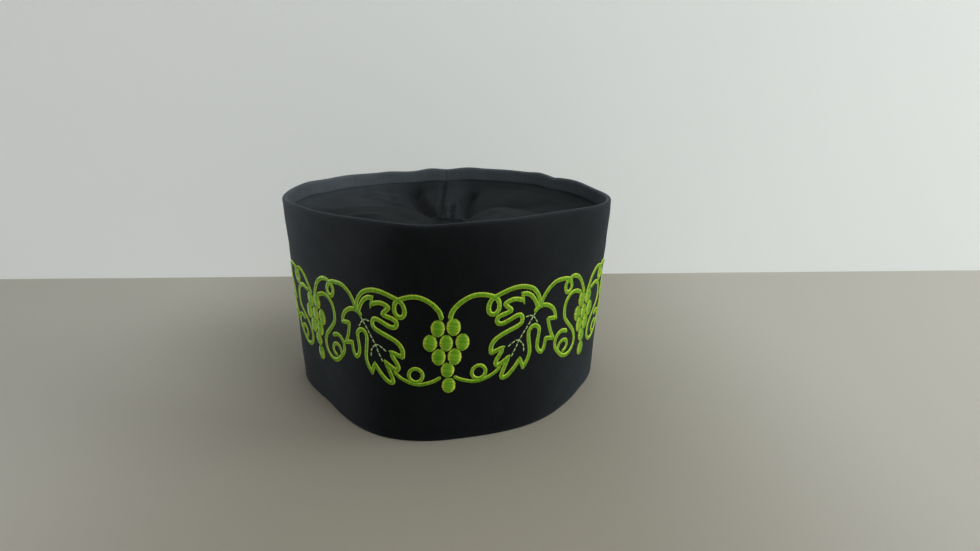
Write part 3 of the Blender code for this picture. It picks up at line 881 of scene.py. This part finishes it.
# How far a stroke runs past its last charted point, and over what length it gets narrower.
End = namedtuple("End", "overrun taper")
SQUARE = End(1.0, 0.15)
POINTED = End(1.5, 2.6)
ROUND_END = End(0.55, 1.05)
Stroke = namedtuple("Stroke", "first last spots width", defaults=[STROKE])
LEAF_STROKES = (
    Stroke(POINTED, ROUND_END, (
        (67.9, 61.5), (66.6, 65.0), (64.2, 67.9), (60.8, 70.0), (57.3, 70.9), (54.2, 70.7), (51.8, 69.7),
        (50.4, 68.4),
    )),
    Stroke(ROUND_END, SQUARE, (
        (52.4, 70.2), (51.7, 72.4), (50.6, 74.4), (48.9, 76.8), (46.9, 78.6), (44.3, 79.8), (42.2, 80.0),
    )),
    Stroke(SQUARE, POINTED, ((41.5, 80.4), (42.2, 77.4), (42.7, 75.4)), TOOTH_STROKE),
    Stroke(ROUND_END, SQUARE, (
        (41.8, 76.4), (39.4, 77.5), (36.4, 78.0), (33.9, 77.6), (31.9, 76.8), (31.2, 75.9), (32.5, 74.5),
        (34.4, 72.9), (34.5, 71.8), (32.1, 71.0), (29.5, 70.4), (27.2, 69.2), (26.6, 67.5), (27.7, 65.8),
        (30.2, 65.6), (33.4, 66.7), (36.1, 67.9), (38.9, 68.8), (40.9, 68.5), (41.9, 66.9), (41.8, 64.8),
        (40.6, 63.4), (38.0, 62.3), (34.2, 61.0), (30.4, 59.6), (27.3, 58.0), (25.0, 56.0), (23.8, 53.6),
        (23.6, 51.4), (23.9, 49.8),
    )),
    Stroke(SQUARE, POINTED, ((24.4, 49.7), (26.5, 50.5), (28.8, 51.3), (30.4, 51.8))),
    Stroke(POINTED, POINTED, (
        (30.3, 51.2), (29.5, 49.1), (28.2, 47.0), (27.0, 45.0), (26.6, 43.2), (27.5, 42.0), (29.0, 42.3),
        (31.2, 43.5), (33.4, 45.0), (34.3, 45.7),
    )),
    Stroke(POINTED, POINTED, (
        (34.3, 45.3), (33.1, 43.0), (31.8, 40.0), (30.6, 36.9), (30.2, 34.9), (31.5, 34.1), (33.9, 35.0),
        (36.8, 37.5), (39.7, 40.7), (41.3, 43.1),
    )),
    Stroke(POINTED, POINTED, ((41.8, 43.3), (42.7, 40.5), (43.6, 38.0)), SPIKE_STROKE),
    Stroke(POINTED, SQUARE, (
        (43.9, 38.0), (45.4, 39.7), (47.0, 42.5), (47.9, 46.0), (47.5, 50.0), (46.7, 54.5), (46.8, 58.0),
        (48.7, 60.4), (51.7, 60.4), (54.1, 58.0), (54.0, 54.5), (53.3, 50.6), (53.4, 47.2), (54.9, 44.7),
        (56.9, 44.0), (58.5, 45.8), (59.3, 48.6), (59.6, 50.9),
    )),
    Stroke(SQUARE, SQUARE, ((60.0, 51.0), (63.0, 50.4), (65.7, 49.7))),
    Stroke(SQUARE, SQUARE, ((65.7, 50.0), (64.3, 52.6), (62.8, 56.0), (61.7, 59.4), (61.2, 61.8))),
    Stroke(SQUARE, POINTED, ((61.6, 62.0), (64.8, 61.7), (67.5, 61.1))),
)

# %% The scroll, the low tendril and the veins
CURL_STROKE = STROKE - 0.2
LOW_STROKE = 2.0
SCROLL = (
    (93.0, 70.8), (88.5, 72.5), (84.5, 72.8), (80.8, 71.6), (77.5, 68.8), (75.9, 64.2), (76.5, 59.5),
    (79.2, 55.8), (83.0, 52.4), (86.8, 49.0), (89.2, 45.0), (89.5, 40.5), (87.4, 37.2), (83.5, 35.2),
    (79.5, 35.0), (75.5, 36.5), (71.5, 39.8), (68.7, 43.0), (68.0, 46.7), (70.0, 50.1), (73.8, 51.7),
    (77.5, 51.0), (79.0, 50.0),
)
CURL = ((71.5, 41.2), (72.7, 44.2), (76.0, 45.5), (79.7, 44.3), (80.8, 41.5), (79.0, 39.1), (76.3, 38.5))
LOW_TENDRIL = (
    (3.8, 38.2), (7.0, 36.4), (11.0, 35.1), (15.0, 34.4), (19.0, 34.9), (22.5, 36.1), (26.0, 37.9),
    (29.3, 40.5),
)
RING_CENTRE = (17.0, 39.7)
RING_RADIUS = 3.8
RING_POINTS = 17
VEINS = (
    (
        (50.6, 68.0), (49.0, 66.0), (47.3, 63.9), (45.6, 61.8), (44.0, 59.6), (42.0, 57.0), (40.3, 54.2),
        (38.9, 51.5), (37.3, 48.5), (35.8, 45.4),
    ),
    ((44.2, 66.9), (47.2, 67.0), (49.2, 66.1), (50.6, 64.8), (52.0, 62.8)),
    ((33.5, 51.9), (35.8, 53.4), (38.2, 54.5), (40.2, 54.3), (42.0, 52.8), (43.4, 50.4), (43.7, 47.6)),
)

# %% [markdown]
# ## Laying stitches along a stroke
# A stroke is a smooth line through its charted points. Stitches cross it side by side, slanted a little as
# a machine lays them, and closer together where the line bends, so that no cloth shows at the outside of
# a curl. Towards a stroke's ends they get shorter: soon for a square end, and slowly for a pointed one.

# %% Lines through charted points
STEP = 0.05
CURVE_POINTS = 24


def through(spots):
    """A smooth line through charted points, as closely spaced points with even steps."""
    spots = np.array(spots, dtype=float)
    if len(spots) == 2:
        spots = np.stack([spots[0], spots.mean(axis=0), spots[1]])
    padded = np.concatenate([[2 * spots[0] - spots[1]], spots, [2 * spots[-1] - spots[-2]]])
    share = np.linspace(0, 1, CURVE_POINTS, endpoint=False)[:, None]
    arcs = []
    for a, b, c, d in zip(padded, padded[1:], padded[2:], padded[3:]):
        square = (2 * a - 5 * b + 4 * c - d) * share**2
        cube = (3 * b - a - 3 * c + d) * share**3
        arcs.append(0.5 * (2 * b + (c - a) * share + square + cube))
    line = np.concatenate(arcs + [spots[-1:]])
    lengths = lengths_to(line)
    return at_lengths(line, lengths, np.arange(0.0, lengths[-1], STEP))


# %% The rows of a stroke and of a berry
STITCH_PITCH = 0.45
PADDING = 0.22
BEND_SPAN = 9
SHORTEST = 0.03
BERRY_SLANT = 0.16
BERRY_RISE = 0.75
BERRY_ROUNDING = 0.7
Row = namedtuple("Row", "middle ahead half rise lift")


def rows_along(spots, width, lift=0.0, first=ROUND_END, last=ROUND_END):
    """The stitches of one stroke: where each crosses it, its direction, half its length and its rise."""
    line = through(spots)
    ahead = headings(line)
    before = line[0] - ahead[0] * np.arange(first.overrun, 0, -STEP)[:, None]
    after = line[-1] + ahead[-1] * np.arange(STEP, last.overrun + STEP, STEP)[:, None]
    line = np.concatenate([before, line, after])
    ahead = headings(line)
    heading = np.unwrap(np.arctan2(ahead[:, 1], ahead[:, 0]))
    bend = np.abs(np.convolve(np.gradient(heading) / STEP, np.ones(BEND_SPAN) / BEND_SPAN, mode="same"))
    walked = np.cumsum(np.full(len(line), STEP) * (1 + bend * width / 2))
    at = np.arange(STITCH_PITCH / 2, walked[-1], STITCH_PITCH)
    index = np.clip(np.searchsorted(walked, at), 0, len(line) - 1)
    from_first = np.clip(index * STEP / first.taper, 0, 1)
    from_last = np.clip((len(line) - 1 - index) * STEP / last.taper, 0, 1)
    shorter = np.sqrt(np.clip(from_first * from_last, SHORTEST, 1))
    return [Row(line[i], ahead[i], width / 2 * r, PADDING * r, lift) for i, r in zip(index, shorter)]


def rows_over(berry):
    """The stitches of one berry: rows across an oval, rising to its middle as a dome."""
    half = np.array([berry.width, berry.height]) / 2
    across = np.array([cos(BERRY_SLANT), -sin(BERRY_SLANT)])
    ahead = np.array([sin(BERRY_SLANT), cos(BERRY_SLANT)])
    tallest = np.hypot(*(ahead * half))
    count = round(2 * tallest / STITCH_PITCH)
    rows = []
    for i in range(count):
        spot = ahead * tallest * (-1 + 2 * (i + 0.5) / count)
        # A row ends where it meets the oval, which a quadratic equation gives.
        a, b = ((across / half) ** 2).sum(), (across * spot / half**2).sum()
        c = ((spot / half) ** 2).sum() - 1
        reach = np.sqrt(max(b * b - a * c, 0.0)) / a
        middle = spot - across * b / a + (berry.along, berry.up)
        rise = BERRY_RISE * (reach / half[0]) ** BERRY_ROUNDING
        rows.append(Row(middle, ahead, reach, rise, 0.0))
    return rows


# %% [markdown]
# ## From the chart to the band
# The chart's lengths are measured round the real band at mid height, starting from its front. Sewing up
# drew the cloth a little aside here and there, so a short table shifts the chart along and up by a few
# millimetres at most, smoothly from one place to the next.

# %% Where the vine lies round the band
AROUND_POINTS = 1441
MID_HEIGHT = 0.5
# A place along the band, and the shift along and up there, all in millimetres.
DRAWN = np.array(
    (
        (-180.0, 0.0, 0.0), (-150.0, 1.6, -1.0), (-122.0, 3.6, -1.6), (-98.0, 2.4, 0.0),
        (-62.0, 1.8, -0.1), (-42.0, 0.8, -0.6), (-20.0, 0.6, -0.7), (0.0, 0.6, -0.1),
        (20.0, 0.7, -0.2), (42.0, 0.8, -0.5), (62.0, 1.1, -0.7), (80.0, 1.7, -0.9),
        (98.0, 0.7, -0.9), (118.0, 0.9, -1.5), (138.0, 0.8, -1.9), (170.0, 0.0, 0.0),
    )
)
around = np.linspace(-1.5 * pi, 0.5 * pi, AROUND_POINTS)
radius = outer_radius(around, MID_HEIGHT)
mid_height = MID_HEIGHT * rim_height(around)
girth = np.stack([radius * np.cos(around), radius * np.sin(around), mid_height], axis=1)
lengths = lengths_to(girth) / MM
lengths -= np.interp(-pi / 2, around, lengths)
ROUND = lengths[-1] - lengths[0]
print("the band is", ROUND, "mm round at mid height")


def on_band(start, stretch, chart, proud):
    """Charted places, in millimetres, laid on the band's cloth and this far off it."""
    along = (start + stretch * chart[..., 0] + ROUND / 2) % ROUND - ROUND / 2
    drawn_along = np.interp(along, DRAWN[:, 0], DRAWN[:, 1])
    drawn_up = np.interp(along, DRAWN[:, 0], DRAWN[:, 2])
    along = (along + drawn_along - lengths[0]) % ROUND + lengths[0]
    angle = np.interp(along, lengths, around)
    return on_cloth(angle, -proud * MM, (chart[..., 1] + drawn_up) * MM)


# %% [markdown]
# ## Sewing a piece
# Every row of the chart gets one copy of the stitch: stretched to the row's length, turned across the
# line and slanted, and arched over the padding. Each differs a little in length, slant, height and shade,
# as real stitches do. The chances are drawn in a fixed order, so every run sews the same vine.

# %% Copy the stitch along the rows
STITCH_SLANT = 0.18
THREAD_REST = 0.22
SUNK = 0.05
UNEVEN_LENGTH = 0.035
UNEVEN_LAY = 0.04
FIBRE_SHIFT = 90
CHANCE_SEED = 7
chance = np.random.RandomState(CHANCE_SEED)


def sew(name, node, rows, stitch, start, stretch, slant=STITCH_SLANT, material=green_thread):
    """One embroidered piece: a copy of the stitch for each row, laid on the band."""
    middle, ahead, half, rise, lift = (np.array(column) for column in zip(*rows))
    across = np.stack([-ahead[:, 1], ahead[:, 0]], axis=1)
    count, points = len(rows), stitch.points
    half = half * (1 + UNEVEN_LENGTH * chance.uniform(-1, 1, count))
    shade = chance.uniform(0, 1, count)
    slants = slant + UNEVEN_LAY * chance.uniform(-1, 1, count)
    jump = UNEVEN_LAY * chance.uniform(-1, 1, count)
    reach = points[None, :, 0] * half[:, None]
    chart = (
        middle[:, None, :]
        + across[:, None, :] * reach[..., None]
        + ahead[:, None, :] * (points[None, :, 1] + slants[:, None] * reach)[..., None]
    )
    arch = np.sqrt(1 - points[:, 0] ** 2)
    proud = (rise + jump)[:, None] * arch + points[:, 2] + THREAD_REST * arch + lift[:, None] - SUNK
    placed = on_band(start, stretch, chart, proud).reshape(-1, 3)
    order = slice(None) if stretch > 0 else slice(None, None, -1)
    size = len(points)
    faces = [tuple(k + i * size for k in face[order]) for i in range(count) for face in stitch.faces]
    mesh = bpy.data.meshes.new(name)
    mesh.from_pydata(placed.tolist(), [], faces)
    write_number(mesh, "stitch_end", np.tile(np.abs(points[:, 0]), count))
    write_number(mesh, "stitch_shade", np.repeat(shade, size))
    turn = np.tile(np.arctan2(points[:, 2], points[:, 1]) / pi, count)
    write_uv(mesh, "thread", np.stack([(reach + shade[:, None] * FIBRE_SHIFT).ravel(), turn], axis=1))
    cover(mesh, material)
    piece = link_new(name, mesh)
    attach(piece, "root")
    if node:
        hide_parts(node)
    return piece


# %% [markdown]
# ## Sewing the vine
# Each motif of the chart is sewn six times round the band, every second time mirrored. A motif is one
# piece, and stands for the plain solid of the same motif in the CAD model. Where two lines cross or
# meet, one of them lies a little higher.

# %% The motifs' rows
OVER = 0.06
SECOND_STEM_LIFT, CURL_LIFT = 0.05, -0.05
berry_rows = [row for berry in BERRIES for row in rows_over(berry)]
stem_rows = rows_along(FIRST_STEM, STROKE) + rows_along(SECOND_STEM, STROKE, SECOND_STEM_LIFT)
leaf_rows = []
for i, stroke in enumerate(LEAF_STROKES):
    leaf_rows += rows_along(stroke.spots, stroke.width, OVER * (i % 2), stroke.first, stroke.last)
scroll_rows = rows_along(SCROLL, STROKE) + rows_along(CURL, CURL_STROKE, CURL_LIFT)
ring = [
    (RING_CENTRE[0] + RING_RADIUS * cos(turn), RING_CENTRE[1] + RING_RADIUS * sin(turn))
    for turn in np.linspace(-pi / 2, 1.5 * pi, RING_POINTS)
]
low_rows = rows_along(LOW_TENDRIL, LOW_STROKE) + rows_along(ring, LOW_STROKE, OVER)
print(
    "stitches in a bunch, stems, leaf, scroll and tendril:",
    [len(rows) for rows in (berry_rows, stem_rows, leaf_rows, scroll_rows, low_rows)],
)

# %% [markdown]
# ## The leaf's veins
# The veins are running stitch in a paler thread: single threads laid end to end along the line, with
# small gaps where the thread is under the cloth. The long stitch serves, made thicker and turned to lie
# along the line.

# %% The veins' rows
DASH = 2.1
DASH_GAP = 0.65
DASH_RISE = 0.12
VEIN_WIDTH = 0.72
VEIN_HEIGHT = 1.1


def rows_of_dashes(spots):
    """Running stitch: single threads that lie along the line, with gaps between them."""
    line = through(spots)
    ahead = headings(line)
    rows = []
    at = DASH / 2
    while at / STEP < len(line):
        i = int(at / STEP)
        rows.append(Row(line[i], np.array([ahead[i, 1], -ahead[i, 0]]), DASH / 2, DASH_RISE, 0.0))
        at += DASH + DASH_GAP
    return rows


vein_rows = [row for vein in VEINS for row in rows_of_dashes(vein)]
thicker = (1, VEIN_WIDTH / (2 * THREAD_HALF), VEIN_HEIGHT)
vein_stitch = Stitch(long_stitch.points * thicker, long_stitch.faces)
print("dashes in a leaf's veins:", len(vein_rows))

# %% Sew them round the band
MOTIFS = (
    ("satin_stem", "vine_stem", stem_rows),
    ("satin_leaf", "vine_leaf", leaf_rows),
    ("satin_scroll", "scroll_tendril", scroll_rows),
    ("satin_low_tendril", "low_tendril", low_rows),
)
stops = BUNCHES_ALONG + (ROUND,)
for i, (here, there) in enumerate(zip(stops, stops[1:])):
    number = i + 1
    mirrored = i % 2 == 1
    start = there if mirrored else here
    stretch = (there - here) / HALF_REPEAT * (-1 if mirrored else 1)
    bunch, grapes, veins = f"satin_bunch_{number}", f"grape_bunch_{number}", f"leaf_veins_{number}"
    sew(bunch, grapes, berry_rows, long_stitch, here, stretch=1.0, slant=0.0)
    for name, node, rows in MOTIFS:
        sew(f"{name}_{number}", f"{node}_{number}", rows, short_stitch, start, stretch)
    sew(veins, None, vein_rows, vein_stitch, start, stretch, slant=0.0, material=pale_thread)

# %% [markdown]
# ## Telling the frame what is what
# Band and crown ride on the hat's one body, and stand for their plain CAD solids. Both are sheets of
# cloth: the band is stretched over its stiffener, and the crown is gathered into its tucks.

# %% Ride and replace
for piece, node in ((band, "band"), (crown, "crown")):
    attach(piece, "root")
    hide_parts(node)

# %% [markdown]
# ## The floor
# The hat stands on a plain pale floor. In the photograph the floor is darker round the hat than out at
# the sides, where more light falls. Here that is painted shade in the floor's colour, so its tone rises
# smoothly with the distance across.

# %% Floor
FLOOR_SIZE = 30
# Painted shade round the hat, and painted light out at the sides.
FLOOR_SHADED_MIDDLE = (0.335, 0.305, 0.245)
FLOOR_LIT_SIDES = (0.50, 0.475, 0.415)
SIDES_START, SIDES_END = 0.06, 0.26


def make_floor():
    """A wide plain floor, with painted shade that makes it darker in the middle than at its sides."""
    floor = start_piece("floor", bpy.ops.mesh.primitive_plane_add, size=FLOOR_SIZE, location=(0, 0, 0))
    material, tree, shader = new_material("pale floor")
    place = add_node(tree, "SeparateXYZ", {0: add_node(tree, "TexCoord").outputs["Object"]})
    aside = add_math(tree, "ABSOLUTE", place.outputs["X"])
    sides = add_node(
        tree,
        "MapRange",
        {"Value": aside, "From Min": SIDES_START, "From Max": SIDES_END},
        interpolation_type="SMOOTHSTEP",
    )
    colour = add_blend(tree, sides.outputs["Result"], FLOOR_SHADED_MIDDLE, FLOOR_LIT_SIDES)
    plug(tree, shader, {"Base Color": colour, "Roughness": 0.7})
    floor.data.materials.append(material)


make_floor()

# %% [markdown]
# ## The wall
# A plain pale wall stands close behind the hat, and gives it the clean pale ground of the photograph. It
# glows a little: painted light for the daylight on a wall by a window. A studio would move it away to look
# at the hat from behind.
# Here the wall's back is clear, so that a camera behind it sees through it, and the wall ends just outside
# the picture's left edge, so that the light from that side passes it.

# %% Wall
WALL_PLACE = 0.232
WALL_SIZE = 3.0
WALL_LEFT = -0.54
WALL_DEEP = (0.80, 0.82, 0.80)
WALL_PALE = (0.84, 0.86, 0.84)
# Painted light: the wall glows by this much, though it is no lamp.
WALL_PAINTED_GLOW = 0.17
PLASTER = 3.0


def make_wall():
    """A plain pale wall that can be seen through from behind."""
    wall = start_piece(
        "backdrop",
        bpy.ops.mesh.primitive_plane_add,
        size=WALL_SIZE,
        location=(WALL_LEFT + WALL_SIZE / 2, WALL_PLACE, WALL_SIZE / 2),
        rotation=(pi / 2, 0, 0),
    )
    material, tree, shader = new_material("pale wall")
    plaster = add_noise(tree, add_node(tree, "TexCoord").outputs["Object"], PLASTER)
    plug(tree, shader, {
        "Base Color": add_blend(tree, plaster, WALL_DEEP, WALL_PALE),
        "Emission Color": (0.98, 1.0, 0.98, 1.0),
        "Emission Strength": WALL_PAINTED_GLOW,
        "Roughness": 0.9,
    })
    behind = add_node(tree, "NewGeometry").outputs["Backfacing"]
    clear = add_node(tree, "BsdfTransparent").outputs["BSDF"]
    either = add_node(tree, "MixShader", {0: behind, 1: shader.outputs["BSDF"], 2: clear})
    plug(tree, tree.nodes["Material Output"], {"Surface": either.outputs["Shader"]})
    wall.data.materials.append(material)


make_wall()

# %% [markdown]
# ## The light
# A large soft light on the right stands for a window, and a second one, high in front, for the ceiling. A
# narrow one comes from low on the left and grazes the upper band and the facing. The rest is the pale
# room itself, a little brighter behind the hat than in front, so that the front of the band stays the
# darkest, as in the photograph.

# %% Lights
Lamp = namedtuple("Lamp", "name place aim size power colour spread")
LAMPS = (
    Lamp("left window", (-1.3, 0.55, 0.12), (0, 0, 0.18), 0.2, 0.17, (0.90, 0.96, 1.0), 14),
    Lamp("right window", (1.3, 0.10, 0.62), (0, 0, 0.10), 1.1, 12.0, (0.93, 0.98, 1.0), 180),
    Lamp("front ceiling", (0.7, -0.9, 1.3), (0, 0, 0.10), 0.9, 7.0, (0.95, 0.98, 1.0), 180),
)
ROOM_COLOUR = (0.93, 0.95, 0.96, 1.0)
ROOM_RANGE = {"From Min": -0.8, "From Max": 0.8, "To Min": 0.34, "To Max": 0.52}


def add_lamp(lamp):
    """A soft square light that looks at a point, fans out by so many degrees and isn't seen itself."""
    data = bpy.data.lights.new(lamp.name, "AREA")
    sizes = {"size": lamp.size, "energy": lamp.power, "spread": radians(lamp.spread)}
    set_all(data, {"shape": "SQUARE", "color": lamp.colour, **sizes})
    light = link_new(lamp.name, data)
    light.location = lamp.place
    away = Vector(lamp.place) - Vector(lamp.aim)
    light.rotation_euler = away.to_track_quat("Z", "Y").to_euler()
    light.visible_camera = False


for lamp in LAMPS:
    add_lamp(lamp)
world = bpy.data.worlds.new("pale room")
bpy.context.scene.world = world
world.use_nodes = True
tree = world.node_tree
sky = add_node(tree, "SeparateXYZ", {0: add_node(tree, "TexCoord").outputs["Generated"]})
strength = add_node(
    tree, "MapRange", {"Value": sky.outputs["Y"], **ROOM_RANGE}, interpolation_type="SMOOTHSTEP"
)
plug(tree, tree.nodes["Background"], {"Color": ROOM_COLOUR, "Strength": strength.outputs["Result"]})
# The Standard view shows the colours as they are, without the look of film.
bpy.context.scene.view_settings.view_transform = "Standard"
print("lights:", [lamp.name for lamp in LAMPS], "and", world.name)
